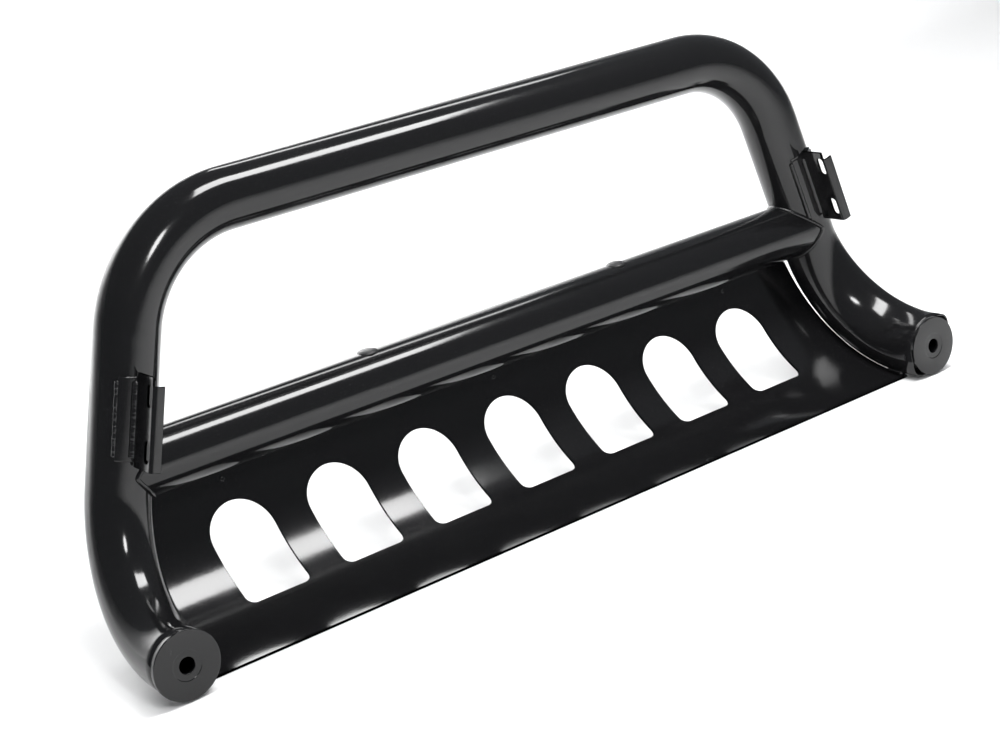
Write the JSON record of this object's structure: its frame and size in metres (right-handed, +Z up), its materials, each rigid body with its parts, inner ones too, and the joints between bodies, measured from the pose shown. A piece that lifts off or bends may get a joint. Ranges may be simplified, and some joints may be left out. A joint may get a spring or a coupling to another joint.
{
  "type": "front grille guard",
  "caption": "Tubular bull bar with splayed uprights, a cross tube, a curved skid plate with round-topped openings, capped tube ends and slotted rear brackets.",
  "frame": {"origin": "middle of the bounding box at its lowest face, which is the skid plate's underside", "axes": "+X along the vehicle's width, +Y back towards the vehicle (-Y is the front), +Z up"},
  "size_m": [1.2524, 0.2186, 0.5126],
  "materials": {
    "gloss_black": "gloss black powder coat on steel",
    "weld_bead": "gloss black powder coat over rippled weld beads",
    "plug_plastic": "satin moulded black plastic"
  },
  "bodies": {
    "root": {"main_hoop": "gloss_black", "cross_tube": "gloss_black", "skid_plate": "gloss_black", "left_end_cap": "gloss_black", "right_end_cap": "gloss_black", "left_saddle": "gloss_black", "right_saddle": "gloss_black", "left_bracket_plate": "gloss_black", "right_bracket_plate": "gloss_black", "left_light_plug": "plug_plastic", "right_light_plug": "plug_plastic", "left_cross_weld": "weld_bead", "right_cross_weld": "weld_bead", "left_cap_weld": "weld_bead", "right_cap_weld": "weld_bead", "left_saddle_welds": "weld_bead", "right_saddle_welds": "weld_bead", "left_bracket_welds": "weld_bead", "right_bracket_welds": "weld_bead", "left_corner_weld": "weld_bead", "right_corner_weld": "weld_bead", "plate_stitch_welds": "weld_bead", "plate_weld_spots": "weld_bead"}
  },
  "joints": []
}
